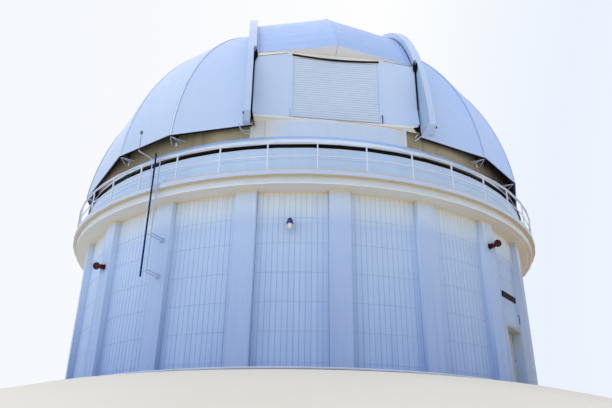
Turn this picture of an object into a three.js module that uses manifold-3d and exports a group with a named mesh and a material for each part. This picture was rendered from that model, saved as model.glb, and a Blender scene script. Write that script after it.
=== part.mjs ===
// Round steel observatory: a fixed drum of pilasters and ribbed panels under a rotating dome.
// Millimetres, +Z up. The origin is on the building's axis at the foot of its foundation,
// and the observing slit looks along -Y. Azimuths run from -Y towards +X, in degrees.
import * as THREE from "three";
import { mergeVertices } from "three/addons/utils/BufferGeometryUtils.js";
import Module from "manifold-3d";

const wasm = await Module();
wasm.setup();

const FIT = 0.3; // gap between pieces that touch
const EDGE = 0.001; // the same gap as an azimuth
const RAD = Math.PI / 180;
const FAR = 16000; // beyond every surface of the building
const HIGH = 27000;

// Fixed building
const FACET = 6; // azimuth step of the round rings
const BAY = 18; // azimuth from one pilaster to the next
const SEGMENTS = 10; // wall segments, of two bays each
const PILASTER_HALF = 2.04;
const R_PILASTER = 14500;
const R_PANEL = 14150;
const R_WALL_IN = 13850;
const R_FOOT_IN = 13700;
const R_PLINTH = 14680;
const R_FLASHING = 14560;
const Z_FLOOR = 130;
const Z_PLINTH = 160;
const Z_FLASHING = 240;
const Z_SOFFIT = 8580;
const R_CORNICE = 15180;
const Z_CORNICE = 8950;
const R_DECK = 15400;
const Z_DECK = 9230;
const R_UPPER_IN = 14500;
const R_UPPER = 14750;
const Z_UPPER = 10700;
const PANEL_FLAT = R_PANEL * Math.cos((FACET / 2) * RAD); // radius of a facet's middle

// Entrance in the bay between the pilasters at 36 and 54 degrees
const ENTRY_AZ = 47.05;
const ENTRY_HALF = 1190;
const Z_ENTRY = 3400;
const ENTRY_IN = 13450; // inner reach of the doorway
const FRAME_OUT = [13540, 14080];
const FRAME_BAR = 60;
const LEAF_OUT = [13560, 13620];
const LEAF_GAP = 6;
const BOARD_AZ = 45.4;

// Railing round the balcony
const R_RAIL = 15300;
const Z_RAIL = 10680;
const Z_MID_RAIL = 9980;
const RAIL_SIZE = 45;
const POST_HALF = 30;
const POST_STEP = 9;
const RAIL_SECTIONS = 5;

// Track of the dome, and the ring and drum that turn on it
const R_TRACK = [14050, 14300];
const Z_TRACK = [10300, 10550, 10690];
const TRUCKS = 20;
const R_RING_IN = 13250;
const Z_RING = 10930;
const Z_DRUM = 11100;
const R_DRUM_IN = 14300;
const R_DRUM = 14450;
const PARAPET_AZ = 18;
const Z_PARAPET = 12540;
const Z_DRUM_TOP = 13250;

// Shell: gores that are flat across and round upwards, about this centre
const SHELL_R = 15140;
const SHELL_Z = 10950;
const SHELL_T = 60;
const SHELL_TOP = 83; // elevation at which the gores meet
const Z_SHELL_EDGE = 12200;
const GORES = [8, 35, 50.5, 77, 101, 126, 148, 170]; // azimuths of the right side's seams
const SHELL_FRONT_X = 4500;
const SLIT_HALF = 2385;
const SLIT_REAR = 2600;

// Front wall of the slit
const WALL_Y = -13800;
const WALL_BACK = -13650;
const WALL_HALF = 4410;
const Z_WALL = 12970;
const Z_WALL_TOP = 16850;
const Z_FRONT_RAIL = 16940;
const CHEEK_R = 14150;
const CHEEK_T = 60;

// Shutters, fins and coaming turn about an axis along X at this height
const ARCH_Z = 10850;
const RIDGE_R = 15780;
const EAVE_R = 14960;
const EAVE_X = 4230;
const SHUTTER_T = 60;
const SHUTTER_FROM = 24.55;
const SHUTTER_TO = 101;
const FIN_X = [4520, 4830];
const FIN_R = [14750, 15330];
const FIN_ROOT_X = 4370; // inner side of the fins where the shutters lie beside them
const FIN_FROM = 5.2;
const COAMING_T = 100;
const COAMING_R = [14350, 14850, 15130];
const REAR_RAIL_Y = [3060, 3240];
const Z_REAR_RAIL = 25950;

const WHITE = 0xc9d3e6;
const PANEL = 0xc3cbd8;
const CREAM = 0xcfc5ae;
const TAN = 0xb9a888;
const STEEL = 0x6b6860;
const BROWN = 0x5c3a30;
const RED = 0x6e1a22;
const NAVY = 0x1c2748;

const part = new THREE.Group();
part.name = "observatory_dome";

// A three.js geometry as a manifold-3d solid.
function solidOf(geometry) {
  const bare = geometry.clone();
  bare.deleteAttribute("normal");
  bare.deleteAttribute("uv");
  const merged = mergeVertices(bare, 1e-3);
  return new wasm.Manifold(
    new wasm.Mesh({
      numProp: 3,
      vertProperties: new Float32Array(merged.attributes.position.array),
      triVerts: new Uint32Array(merged.index.array),
    }),
  );
}

function geometryOf(solid) {
  const mesh = solid.getMesh();
  const vertices = new Float32Array(mesh.vertProperties);
  const geometry = new THREE.BufferGeometry();
  geometry.setAttribute("position", new THREE.BufferAttribute(vertices, 3));
  geometry.setIndex(new THREE.BufferAttribute(new Uint32Array(mesh.triVerts), 1));
  geometry.computeVertexNormals();
  return geometry;
}

function add(name, solid, color, roughness = 0.55, metalness = 0.1) {
  const material = new THREE.MeshStandardMaterial({ color, roughness, metalness });
  const mesh = new THREE.Mesh(geometryOf(solid), material);
  mesh.name = name;
  part.add(mesh);
}

function join(solids) {
  return solids.reduce((all, one) => all.add(one));
}

function polar(radius, azimuth, z) {
  return [radius * Math.sin(azimuth * RAD), -radius * Math.cos(azimuth * RAD), z];
}

const aroundZ = (radius, z, azimuth) => polar(radius, azimuth, z);

function aroundX(x, radius, angle) {
  return [x, -radius * Math.cos(angle * RAD), ARCH_Z + radius * Math.sin(angle * RAD)];
}

// A closed profile carried through a row of stations; closed joins the last station to the first.
function loft(profile, stations, place, closed = false) {
  const count = profile.length;
  const vertices = [];
  const index = [];
  stations.forEach((station) => {
    profile.forEach(([u, v]) => vertices.push(...place(u, v, station)));
  });
  const spans = closed ? stations.length : stations.length - 1;
  for (let i = 0; i < spans; i++) {
    const here = i * count;
    const next = ((i + 1) % stations.length) * count;
    for (let j = 0; j < count; j++) {
      const k = (j + 1) % count;
      index.push(here + j, next + j, next + k, here + j, next + k, here + k);
    }
  }
  if (!closed) {
    const outline = profile.map(([u, v]) => new THREE.Vector2(u, v));
    const last = (stations.length - 1) * count;
    THREE.ShapeUtils.triangulateShape(outline, []).forEach(([a, b, c]) => {
      index.push(a, b, c, last + c, last + b, last + a);
    });
  }
  const geometry = new THREE.BufferGeometry();
  geometry.setAttribute("position", new THREE.Float32BufferAttribute(vertices, 3));
  geometry.setIndex(index);
  return solidOf(geometry);
}

// Azimuths from one end to the other, with those of the round rings' facets between them.
function spread(from, to) {
  const list = [from];
  for (let a = Math.floor(from / FACET) * FACET + FACET; a < to - EDGE; a += FACET) {
    if (a > from + EDGE) list.push(a);
  }
  list.push(to);
  return list;
}

function evenly(from, to, count) {
  return Array.from({ length: count + 1 }, (_, i) => from + ((to - from) * i) / count);
}

function rectangle(u0, v0, u1, v1) {
  return [
    [u0, v0],
    [u1, v0],
    [u1, v1],
    [u0, v1],
  ];
}

function mirrorX(profile) {
  return profile.map(([u, v]) => [-u, v]).reverse();
}

const fullCircle = spread(0, 360).slice(0, -1);

function ring(profile) {
  return loft(profile, fullCircle, aroundZ, true);
}

function box(x0, y0, z0, x1, y1, z1) {
  const geometry = new THREE.BoxGeometry(x1 - x0, y1 - y0, z1 - z0);
  geometry.translate((x0 + x1) / 2, (y0 + y1) / 2, (z0 + z1) / 2);
  return solidOf(geometry);
}

// A box in the upright frame of an azimuth: along is tangential, out is radial.
function boxAt(azimuth, along0, out0, z0, along1, out1, z1) {
  const geometry = new THREE.BoxGeometry(along1 - along0, out1 - out0, z1 - z0);
  geometry.translate((along0 + along1) / 2, -(out0 + out1) / 2, (z0 + z1) / 2);
  geometry.rotateZ(azimuth * RAD);
  return solidOf(geometry);
}

// A point in the upright frame of an azimuth: along is tangential, out is radial.
function pointAt(azimuth, along, out, z) {
  const [x, y] = polar(out, azimuth, z);
  return [x + along * Math.cos(azimuth * RAD), y + along * Math.sin(azimuth * RAD), z];
}

// A round bar between two points, tapered where a second radius is given.
function bar(from, to, radius, sides = 10, farRadius = radius) {
  const a = new THREE.Vector3(...from);
  const b = new THREE.Vector3(...to);
  const direction = b.clone().sub(a);
  const turn = new THREE.Quaternion();
  turn.setFromUnitVectors(new THREE.Vector3(0, 1, 0), direction.clone().normalize());
  const geometry = new THREE.CylinderGeometry(farRadius, radius, direction.length(), sides);
  geometry.applyQuaternion(turn);
  geometry.translate(...a.add(b).multiplyScalar(0.5).toArray());
  return solidOf(geometry);
}

// Foundation, floor and flashing
const doorway = boxAt(
  ENTRY_AZ,
  -ENTRY_HALF,
  ENTRY_IN,
  Z_PLINTH,
  ENTRY_HALF,
  R_PLINTH + 400,
  Z_ENTRY,
);
add("foundation_plinth", ring(rectangle(R_FOOT_IN, 0, R_PLINTH, Z_PLINTH)), BROWN, 0.9);
const floorRadius = R_FOOT_IN - FIT;
const floorDisc = new THREE.CylinderGeometry(floorRadius, floorRadius, Z_FLOOR, fullCircle.length);
floorDisc.rotateX(Math.PI / 2);
floorDisc.translate(0, 0, Z_FLOOR / 2);
add("ground_floor", solidOf(floorDisc), 0x8c8880, 0.9);
const flashing = ring(rectangle(R_WALL_IN, Z_PLINTH + FIT, R_FLASHING, Z_FLASHING));
add("base_flashing", flashing.subtract(doorway), 0xe6e8ec);

// Wall in segments, each starting at the near side of a pilaster
function wallSector(from, to) {
  const foot = Z_FLASHING + FIT;
  const panels = rectangle(R_WALL_IN, foot, R_PANEL, Z_SOFFIT);
  const pilaster = rectangle(R_PANEL - 50, foot, R_PILASTER, Z_SOFFIT);
  const pieces = [loft(panels, spread(from, to), aroundZ)];
  for (let a = Math.ceil(from / BAY) * BAY; a < to; a += BAY) {
    pieces.push(loft(pilaster, [a - PILASTER_HALF, a, a + PILASTER_HALF], aroundZ));
  }
  return join(pieces);
}
for (let i = 0; i < SEGMENTS; i++) {
  const from = 2 * BAY * i - PILASTER_HALF;
  const sector = wallSector(from + EDGE, from + 2 * BAY - EDGE);
  if (i !== 1) {
    add("wall_segment_" + String(i + 1).padStart(2, "0"), sector, PANEL);
    continue;
  }
  const reach = [R_WALL_IN / 2, FAR];
  const left = boxAt(ENTRY_AZ, -R_WALL_IN, reach[0], 0, -ENTRY_HALF, reach[1], Z_CORNICE);
  const right = boxAt(ENTRY_AZ, ENTRY_HALF, reach[0], 0, R_WALL_IN, reach[1], Z_CORNICE);
  const overHalf = ENTRY_HALF - FIT;
  const over = boxAt(ENTRY_AZ, -overHalf, reach[0], Z_ENTRY, overHalf, reach[1], Z_CORNICE);
  add("wall_left_of_door", sector.intersect(left), PANEL);
  add("wall_right_of_door", sector.intersect(right), PANEL);
  add("wall_over_door", sector.intersect(over), PANEL);
}

// Deep entrance frame and its two leaves, which swing inwards about their outer edges
const frameHalf = ENTRY_HALF - FIT;
const frameTop = Z_ENTRY - FIT;
const clearHalf = frameHalf - FRAME_BAR;
const clearTop = frameTop - FRAME_BAR;
const frame = boxAt(
  ENTRY_AZ,
  -frameHalf,
  FRAME_OUT[0],
  Z_PLINTH + FIT,
  frameHalf,
  FRAME_OUT[1],
  frameTop,
);
const frameHole = boxAt(ENTRY_AZ, -clearHalf, ENTRY_IN, 0, clearHalf, R_PANEL, clearTop);
add("entrance_frame", frame.subtract(frameHole), 0xb9b7ae);
function entranceLeaf(name, side) {
  const hingeAlong = side * (clearHalf - LEAF_GAP);
  const alongs = [hingeAlong, side * LEAF_GAP].sort((a, b) => a - b);
  const leaf = boxAt(
    ENTRY_AZ,
    alongs[0],
    LEAF_OUT[0],
    Z_FLOOR + 10,
    alongs[1],
    LEAF_OUT[1],
    clearTop - LEAF_GAP,
  );
  const barrels = [700, 1850, 3000].map((z) => {
    const radius = LEAF_GAP - FIT;
    const barrel = new THREE.CylinderGeometry(radius, radius, 120, 8);
    barrel.rotateX(Math.PI / 2);
    barrel.translate(hingeAlong, -LEAF_OUT[0], z);
    barrel.rotateZ(ENTRY_AZ * RAD);
    return solidOf(barrel);
  });
  add(name, join([leaf, ...barrels]), 0xb4b6b4);
}
entranceLeaf("left_door_leaf", -1);
entranceLeaf("right_door_leaf", 1);

// Cornice, balcony and the fixed upper wall
add("cornice", ring(rectangle(R_WALL_IN, Z_SOFFIT + FIT, R_CORNICE, Z_CORNICE)), 0xd2cfc6);
add("balcony_deck", ring(rectangle(R_WALL_IN, Z_CORNICE + FIT, R_DECK, Z_DECK)), WHITE);
add("upper_wall", ring(rectangle(R_UPPER_IN, Z_DECK + FIT, R_UPPER, Z_UPPER)), WHITE);

// Railing sections, their rails straight from post to post
for (let s = 0; s < RAIL_SECTIONS; s++) {
  const span = 360 / RAIL_SECTIONS;
  const from = s * span;
  const lastPost = span / POST_STEP - 1;
  const posts = evenly(from + POST_STEP / 2, from + span - POST_STEP / 2, lastPost);
  const stations = [from + 5 * EDGE, ...posts, from + span - 5 * EDGE];
  const pieces = [Z_RAIL, Z_MID_RAIL].map((z) => {
    const section = rectangle(R_RAIL - RAIL_SIZE / 2, z - RAIL_SIZE, R_RAIL + RAIL_SIZE / 2, z);
    return loft(section, stations, aroundZ);
  });
  posts.forEach((azimuth) => {
    const foot = Z_DECK + FIT;
    const head = Z_RAIL - 5;
    pieces.push(
      boxAt(azimuth, -POST_HALF, R_RAIL - POST_HALF, foot, POST_HALF, R_RAIL + POST_HALF, head),
    );
  });
  add("railing_" + (s + 1), join(pieces), 0xdfe4ea, 0.5, 0.3);
}

// Circular track inside the upper wall
const trackProfile = [
  [R_TRACK[0], Z_TRACK[0]],
  [R_UPPER_IN - FIT, Z_TRACK[0]],
  [R_UPPER_IN - FIT, Z_TRACK[1]],
  [R_TRACK[1], Z_TRACK[1]],
  [R_TRACK[1], Z_TRACK[2]],
  [R_TRACK[0], Z_TRACK[2]],
];
add("dome_track", ring(trackProfile), 0x4a4642, 0.6, 0.6);

// Lamp on the front wall
const LAMP_AZ = -9.4;
const LAMP_R = 14480;
const lampArm = bar(polar(PANEL_FLAT + 2 * FIT, LAMP_AZ, 6950), polar(LAMP_R, LAMP_AZ, 6950), 35);
const lampCap = bar(polar(LAMP_R, LAMP_AZ, 6800), polar(LAMP_R, LAMP_AZ, 7070), 160, 14);
add("wall_lamp", join([lampArm, lampCap]), 0x24407a);
const globe = bar(polar(LAMP_R, LAMP_AZ, 6500), polar(LAMP_R, LAMP_AZ, 6800 - FIT), 110, 14);
add("lamp_globe", globe, 0xe9e2c8);

// Horns on two pilasters: side is the way that the bell points, rise how far it tilts up
function horn(name, azimuth, z, side, rise) {
  const back = R_PILASTER + FIT;
  const out = R_PILASTER + 230;
  const driver = boxAt(azimuth, -115, back, z - 90, 115, back + 270, z + 90);
  const neck = pointAt(azimuth, side * 50, out, z);
  const mouth = pointAt(azimuth, side * 530, out, z + rise);
  add(name, join([driver, bar(neck, mouth, 60, 14, 190)]), RED);
}
horn("right_horn", 35.8, 7175, 1, 265);
horn("left_horn", -54.0, 6030, -1, 150);

// Bare board over the entrance and a slim lamp beside it
const boardBack = PANEL_FLAT + 5 + FIT;
add("name_board", boxAt(BOARD_AZ, -960, boardBack, 4840, 960, 14200, 5150), 0x5a3f30);
const slimBack = PANEL_FLAT + FIT;
add("entrance_lamp", boxAt(51, 138, slimBack, 3780, 208, slimBack + 110, 4370), 0x22262e);

// Mast and the cable pipe beside it, on two brackets in front of a pilaster
const MAST_AZ = -36;
const MAST_R = 15560;
const PIPE_AZ = -35.08;
const PIPE_R = 15470;
const mastPieces = [
  bar(polar(MAST_R, MAST_AZ, 4400), polar(MAST_R, MAST_AZ, 10950), 45),
  bar(polar(PIPE_R, PIPE_AZ, 4700), polar(PIPE_R, PIPE_AZ, 10700), 30, 8),
];
[4760, 6600].forEach((z) => {
  const pad = R_PILASTER + FIT;
  mastPieces.push(boxAt(MAST_AZ, -30, pad, z - 190, 200, pad + 30, z + 50));
  mastPieces.push(bar(polar(pad + 15, -35.5, z), polar(PIPE_R, PIPE_AZ, z - 30), 22, 8));
  mastPieces.push(bar(polar(pad + 15, -35.5, z - 140), polar(PIPE_R, PIPE_AZ, z - 170), 22, 8));
  mastPieces.push(bar(polar(PIPE_R, PIPE_AZ, z - 100), polar(MAST_R, MAST_AZ, z - 100), 22, 8));
});
add("mast", join(mastPieces), NAVY);

// Sensor arm that stands inside the railing and reaches out over it
const ARM_AZ = -38.15;
const ARM_R = 15205; // clear of the straight rails behind it
const armPath = [
  [ARM_R, Z_DECK + FIT],
  [ARM_R, 10780],
  [ARM_R + 90, 10890],
  [ARM_R + 260, 10930],
  [16180, 10930],
];
const armPieces = [];
for (let i = 1; i < armPath.length; i++) {
  const [[r0, z0], [r1, z1]] = [armPath[i - 1], armPath[i]];
  armPieces.push(bar(polar(r0, ARM_AZ, z0), polar(r1, ARM_AZ, z1), 25, 8));
  const knuckle = new THREE.IcosahedronGeometry(27, 1);
  knuckle.translate(...polar(r1, ARM_AZ, z1));
  armPieces.push(solidOf(knuckle));
}
armPieces.push(bar(polar(16180, ARM_AZ, 10930), polar(16180, ARM_AZ, 11960), 14, 8));
armPieces.push(bar(polar(16180, ARM_AZ, 11950), polar(16180, ARM_AZ, 12090), 70, 10));
add("sensor_arm", join(armPieces), 0xdfe4ea);

// Dome ring with its wheel trucks, which stand on the track
const ringPieces = [ring(rectangle(R_RING_IN, Z_RING, R_DRUM, Z_DRUM))];
for (let i = 0; i < TRUCKS; i++) {
  const azimuth = (360 / TRUCKS) * (i + 0.5);
  ringPieces.push(boxAt(azimuth, -380, 14090, Z_TRACK[2] + FIT, 380, 14240, Z_RING + 20));
}
add("dome_ring", join(ringPieces), 0x5a5048, 0.7, 0.4);
const skirt = [
  [R_DRUM + FIT, 11480],
  [14800, Z_RING],
  [14840, Z_RING],
  [R_DRUM + FIT, 11550],
];
add("drip_skirt", ring(skirt), 0xa9b8dc);

// Drum: a low parapet in front of the slit, and two tall halves under the shell
const parapet = rectangle(R_DRUM_IN, Z_DRUM + FIT, R_DRUM, Z_PARAPET);
add("front_parapet", loft(parapet, spread(-PARAPET_AZ, PARAPET_AZ), aroundZ), WHITE);
const drumProfile = rectangle(R_DRUM_IN, Z_DRUM + FIT, R_DRUM, Z_DRUM_TOP);
const frontHalf = WALL_HALF + FIT;
const frontSpace = box(-frontHalf, -FAR, Z_WALL - 111, frontHalf, -13300, 17200);
const drumFrom = PARAPET_AZ + EDGE;
const drumRight = loft(drumProfile, spread(drumFrom, 180 - EDGE), aroundZ);
const drumLeft = loft(drumProfile, spread(180, 360 - drumFrom), aroundZ);
add("drum_right", drumRight.subtract(frontSpace), TAN);
add("drum_left", drumLeft.subtract(frontSpace), TAN);

// Shell, open at its foot
const goreLines = [...GORES, ...GORES.map((azimuth) => 360 - azimuth).reverse()];
const lowest = Math.asin((Z_SHELL_EDGE - SHELL_Z) / SHELL_R) / RAD;
const elevations = evenly(lowest, SHELL_TOP, 11);
function meridian(radius) {
  return elevations.map((e) => [radius * Math.cos(e * RAD), SHELL_Z + radius * Math.sin(e * RAD)]);
}
const innerFace = meridian(SHELL_R - SHELL_T);
const goreProfile = [...meridian(SHELL_R), ...innerFace.slice().reverse()];
// All that a line of the shell's section encloses, between two azimuths.
function enclosed(line, azimuths) {
  const top = line[line.length - 1][1];
  const profile = [[1, 12000], [line[0][0], 12000], ...line, [1, top]];
  return loft(profile, azimuths, aroundZ);
}
const slitHalf = SLIT_HALF + FIT;
const slitCut = box(-slitHalf, -FAR, 16000, slitHalf, SLIT_REAR + FIT, HIGH);
const frontCut = box(-SHELL_FRONT_X, -FAR, 11000, SHELL_FRONT_X, WALL_BACK + 1, 17200);
const shellCut = slitCut.add(frontCut);
const bracketBox = box(-4860, -14350, 12260, -SHELL_FRONT_X, -13800, 12620);
const bracket = bracketBox.subtract(enclosed(innerFace, [325, 352]));
[
  ["front", 0, 2],
  ["side", 2, 4],
  ["rear", 4, 7],
].forEach(([where, first, last]) => {
  const lines = GORES.slice(first, last + 1);
  lines[0] += EDGE;
  lines[lines.length - 1] -= EDGE;
  const mirrored = lines.map((azimuth) => 360 - azimuth).reverse();
  const left = loft(goreProfile, mirrored, aroundZ).subtract(shellCut);
  add("shell_right_" + where, loft(goreProfile, lines, aroundZ).subtract(shellCut), WHITE);
  add("shell_left_" + where, where === "front" ? left.add(bracket) : left, WHITE);
});
const centreGore = loft(goreProfile, [170 + EDGE, 190 - EDGE], aroundZ);
add("shell_rear_centre", centreGore.subtract(shellCut), WHITE);

// Diaphragm and gussets that carry the shell on the drum
function shellInner(z) {
  const i = innerFace.findIndex((point) => point[1] > z);
  const [r0, z0] = innerFace[i - 1];
  const [r1, z1] = innerFace[i];
  return r0 + ((r1 - r0) * (z - z0)) / (z1 - z0);
}
// Share of its full radius that a flat gore has at an azimuth.
function goreFactor(azimuth) {
  const i = goreLines.findIndex((line) => line > azimuth + EDGE / 2);
  const half = (goreLines[i] - goreLines[i - 1]) / 2;
  const middle = (goreLines[i] + goreLines[i - 1]) / 2;
  return Math.cos(half * RAD) / Math.cos((azimuth - middle) * RAD);
}
function alongGores(radius, z, azimuth) {
  const onDrum = radius < R_DRUM + 1;
  return polar(onDrum ? radius : radius * goreFactor(azimuth), azimuth, z);
}
const seated = (z) => [shellInner(z) - 0.5, z];
const Z_CARRIER = Z_DRUM_TOP - 150;
const carrierRing = [
  [R_DRUM + FIT, Z_CARRIER],
  seated(Z_CARRIER),
  seated(Z_DRUM_TOP),
  [R_DRUM + FIT, Z_DRUM_TOP],
];
const CARRIER_AZ = [20, 340];
const insideLines = goreLines.slice(1, -1);
const carrierStations = [...spread(...CARRIER_AZ), ...insideLines].sort((a, b) => a - b);
const gusset = [
  [R_DRUM + FIT, 12250],
  seated(12600),
  seated(Z_CARRIER + 50),
  [R_DRUM + FIT, Z_CARRIER + 50],
];
const gussets = insideLines.map((a) => loft(gusset, [a - 0.12, a + 0.12], alongGores));
const uniqueStations = [...new Set(carrierStations)];
const carrier = loft(carrierRing, uniqueStations, alongGores);
add("shell_carrier", join([carrier, ...gussets]), 0xb0a48c);

// Front wall of the slit, either side of the roll-up door. Cheeks close it to the shell:
// ahead of the wall low down, and behind it higher up, where the shell leans back.
const CHEEK_SPLIT = 14490;
function cheek(side) {
  const wallLine = WALL_BACK - 50;
  const angleAt = (z) => Math.asin((z - SHELL_Z) / CHEEK_R) / RAD;
  const rim = evenly(angleAt(Z_WALL), angleAt(CHEEK_SPLIT), 2).map((angle) => [
    -CHEEK_R * Math.cos(angle * RAD),
    SHELL_Z + CHEEK_R * Math.sin(angle * RAD),
  ]);
  const outline = [[wallLine, Z_WALL], ...rim].map(([y, z]) => new THREE.Vector2(y, z));
  const ahead = new THREE.ExtrudeGeometry(new THREE.Shape(outline), {
    depth: CHEEK_T,
    bevelEnabled: false,
  });
  const axes = new THREE.Matrix4().makeBasis(
    new THREE.Vector3(0, 1, 0),
    new THREE.Vector3(0, 0, 1),
    new THREE.Vector3(1, 0, 0),
  );
  const x0 = side > 0 ? WALL_HALF - CHEEK_T : -WALL_HALF;
  ahead.applyMatrix4(axes);
  ahead.translate(x0, 0, 0);
  const behind = box(x0, wallLine, CHEEK_SPLIT, x0 + CHEEK_T, -12700, Z_WALL_TOP);
  const goreAzimuths = side > 0 ? [8, 35] : [325, 352];
  const shellBody = enclosed(meridian(SHELL_R + FIT), goreAzimuths);
  return solidOf(ahead).add(behind.subtract(shellBody));
}
const wallRight = box(SLIT_HALF + FIT, WALL_Y, Z_WALL, WALL_HALF, WALL_BACK, Z_WALL_TOP);
const wallLeft = box(-WALL_HALF, WALL_Y, Z_WALL, -SLIT_HALF - FIT, WALL_BACK, Z_WALL_TOP);
add("front_wall_right", wallRight.add(cheek(1)), WHITE);
add("front_wall_left", wallLeft.add(cheek(-1)), WHITE);
const rollUp = box(-SLIT_HALF, WALL_Y + 50, Z_WALL, SLIT_HALF, WALL_Y + 110, Z_WALL_TOP - 40);
add("roll_up_door", rollUp, 0xaab2c0);
const sill = box(-WALL_HALF, -13400, Z_DRUM + FIT, WALL_HALF, -13320, Z_WALL - 100);
const soffit = box(-WALL_HALF, WALL_Y, Z_WALL - 110, WALL_HALF, -13320, Z_WALL - FIT);
add("front_sill", sill.add(soffit), CREAM);
const frontRail = box(
  -WALL_HALF,
  WALL_Y + 20,
  Z_WALL_TOP + FIT,
  WALL_HALF,
  WALL_Y + 130,
  Z_FRONT_RAIL,
);
add("front_rail", frontRail, STEEL, 0.5, 0.5);

// Raised coaming around the slit
const coamingEdges = [SLIT_HALF - COAMING_T, SLIT_HALF];
const coamingSide = rectangle(coamingEdges[0], COAMING_R[0], coamingEdges[1], COAMING_R[2]);
const coamingFoot = rectangle(coamingEdges[0], COAMING_R[0], coamingEdges[1], COAMING_R[1]);
const coamingRear = rectangle(-SLIT_HALF, COAMING_R[0], SLIT_HALF, COAMING_R[2]);
const coamingArc = evenly(25.3, 99, 20);
const footArc = evenly(18, 25.4, 2);
const wallSpace = box(-WALL_HALF, -FAR, 12000, WALL_HALF, WALL_BACK + FIT, Z_FRONT_RAIL + 5);
const coamingSpace = box(-SLIT_HALF, -FAR, 10000, SLIT_HALF, SLIT_REAR, HIGH);
const coaming = join([
  loft(coamingSide, coamingArc, aroundX),
  loft(mirrorX(coamingSide), coamingArc, aroundX),
  loft(coamingFoot, footArc, aroundX),
  loft(mirrorX(coamingFoot), footArc, aroundX),
  loft(coamingRear, evenly(98.5, 100, 1), aroundX),
]);
add("slit_coaming", coaming.subtract(wallSpace).intersect(coamingSpace), 0xb8bdc8);

// Cross rail behind the slit, shaped to the shell it stands on
const rearGores = goreLines.filter((azimuth) => azimuth > 100 && azimuth < 260);
const underRail = enclosed(meridian(SHELL_R + FIT), rearGores);
const rearRail = box(-WALL_HALF, REAR_RAIL_Y[0], 24300, WALL_HALF, REAR_RAIL_Y[1], Z_REAR_RAIL);
add("rear_rail", rearRail.subtract(underRail), STEEL, 0.5, 0.5);

// Shutters: each a roof slope from the ridge to its eave, with a closed front end,
// and feet that stand on the front and rear rails
const shutterArc = evenly(SHUTTER_FROM, SHUTTER_TO, 20);
function shutter(side) {
  const gap = 10;
  const step = 10;
  const skin = [
    [gap, RIDGE_R - SHUTTER_T],
    [EAVE_X, EAVE_R - SHUTTER_T],
    [EAVE_X, EAVE_R],
    [gap, RIDGE_R],
  ];
  const end = [
    [gap, EAVE_R - SHUTTER_T + step],
    [EAVE_X, EAVE_R - SHUTTER_T],
    [EAVE_X, EAVE_R - step],
    [gap, RIDGE_R - step],
  ];
  const turn = (profile) => (side > 0 ? profile : mirrorX(profile));
  const [footIn, footOut] = side > 0 ? [300, 1900] : [-1900, -300];
  const frontFoot = [Z_FRONT_RAIL + FIT, 17240];
  const rearFoot = [Z_REAR_RAIL + FIT, Z_REAR_RAIL + 160];
  return join([
    loft(turn(skin), shutterArc, aroundX),
    loft(turn(end), evenly(SHUTTER_FROM, SHUTTER_FROM + 0.5, 1), aroundX),
    box(footIn, WALL_Y + 40, frontFoot[0], footOut, WALL_Y + 120, frontFoot[1]),
    box(footIn, 2760, rearFoot[0], footOut, REAR_RAIL_Y[1] - 40, rearFoot[1]),
  ]);
}
add("right_shutter", shutter(1), WHITE);
add("left_shutter", shutter(-1), WHITE);

// Fins along the shutters' outer edges, wider and with a gutter where a shutter lies beside them
function fin(side) {
  const turn = (profile) => (side > 0 ? profile : mirrorX(profile));
  const plate = rectangle(FIN_X[0], FIN_R[0], FIN_X[1], FIN_R[1]);
  const gutter = [EAVE_R - SHUTTER_T, EAVE_R - SHUTTER_T + 25];
  const root = [
    [EAVE_X + FIT, gutter[0]],
    [FIN_X[0] + 20, gutter[0]],
    [FIN_X[0] + 20, FIN_R[1]],
    [FIN_ROOT_X, FIN_R[1]],
    [FIN_ROOT_X, gutter[1]],
    [EAVE_X + FIT, gutter[1]],
  ];
  const below = evenly(FIN_FROM, SHUTTER_FROM, 5).slice(0, -1);
  return join([
    loft(turn(plate), [...below, ...shutterArc], aroundX),
    loft(turn(root), shutterArc, aroundX),
  ]);
}
add("right_fin", fin(1), WHITE);
add("left_fin", fin(-1), WHITE);

export default part;
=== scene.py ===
"""Looks of a round steel observatory: siding, seams, slats, small fittings, materials, light, camera.

Metres, +Z up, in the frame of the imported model. Azimuths run from -Y towards +X, in degrees.
"""

from math import asin, atan2, cos, degrees, floor, hypot, pi, radians, sin

import bmesh
import bpy
from mathutils import Matrix, Vector


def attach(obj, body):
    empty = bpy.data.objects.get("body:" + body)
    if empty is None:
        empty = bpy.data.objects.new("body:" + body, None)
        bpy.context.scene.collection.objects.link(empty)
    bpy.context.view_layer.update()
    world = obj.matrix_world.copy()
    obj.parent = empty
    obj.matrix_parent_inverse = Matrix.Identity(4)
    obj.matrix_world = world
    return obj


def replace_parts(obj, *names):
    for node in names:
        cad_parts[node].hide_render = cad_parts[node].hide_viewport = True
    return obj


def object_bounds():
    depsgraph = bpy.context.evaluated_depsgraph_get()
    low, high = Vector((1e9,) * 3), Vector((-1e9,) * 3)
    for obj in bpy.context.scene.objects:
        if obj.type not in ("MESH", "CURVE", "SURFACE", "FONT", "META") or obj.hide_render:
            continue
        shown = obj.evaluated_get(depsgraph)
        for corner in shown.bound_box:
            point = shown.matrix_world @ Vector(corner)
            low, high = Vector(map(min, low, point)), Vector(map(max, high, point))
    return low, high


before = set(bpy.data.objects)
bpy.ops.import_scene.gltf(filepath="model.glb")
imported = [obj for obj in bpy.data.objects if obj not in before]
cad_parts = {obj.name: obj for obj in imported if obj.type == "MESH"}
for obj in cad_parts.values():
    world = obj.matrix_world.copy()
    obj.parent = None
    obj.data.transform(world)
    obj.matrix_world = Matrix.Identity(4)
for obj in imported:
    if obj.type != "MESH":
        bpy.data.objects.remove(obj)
CAD_LO, CAD_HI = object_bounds()

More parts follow.
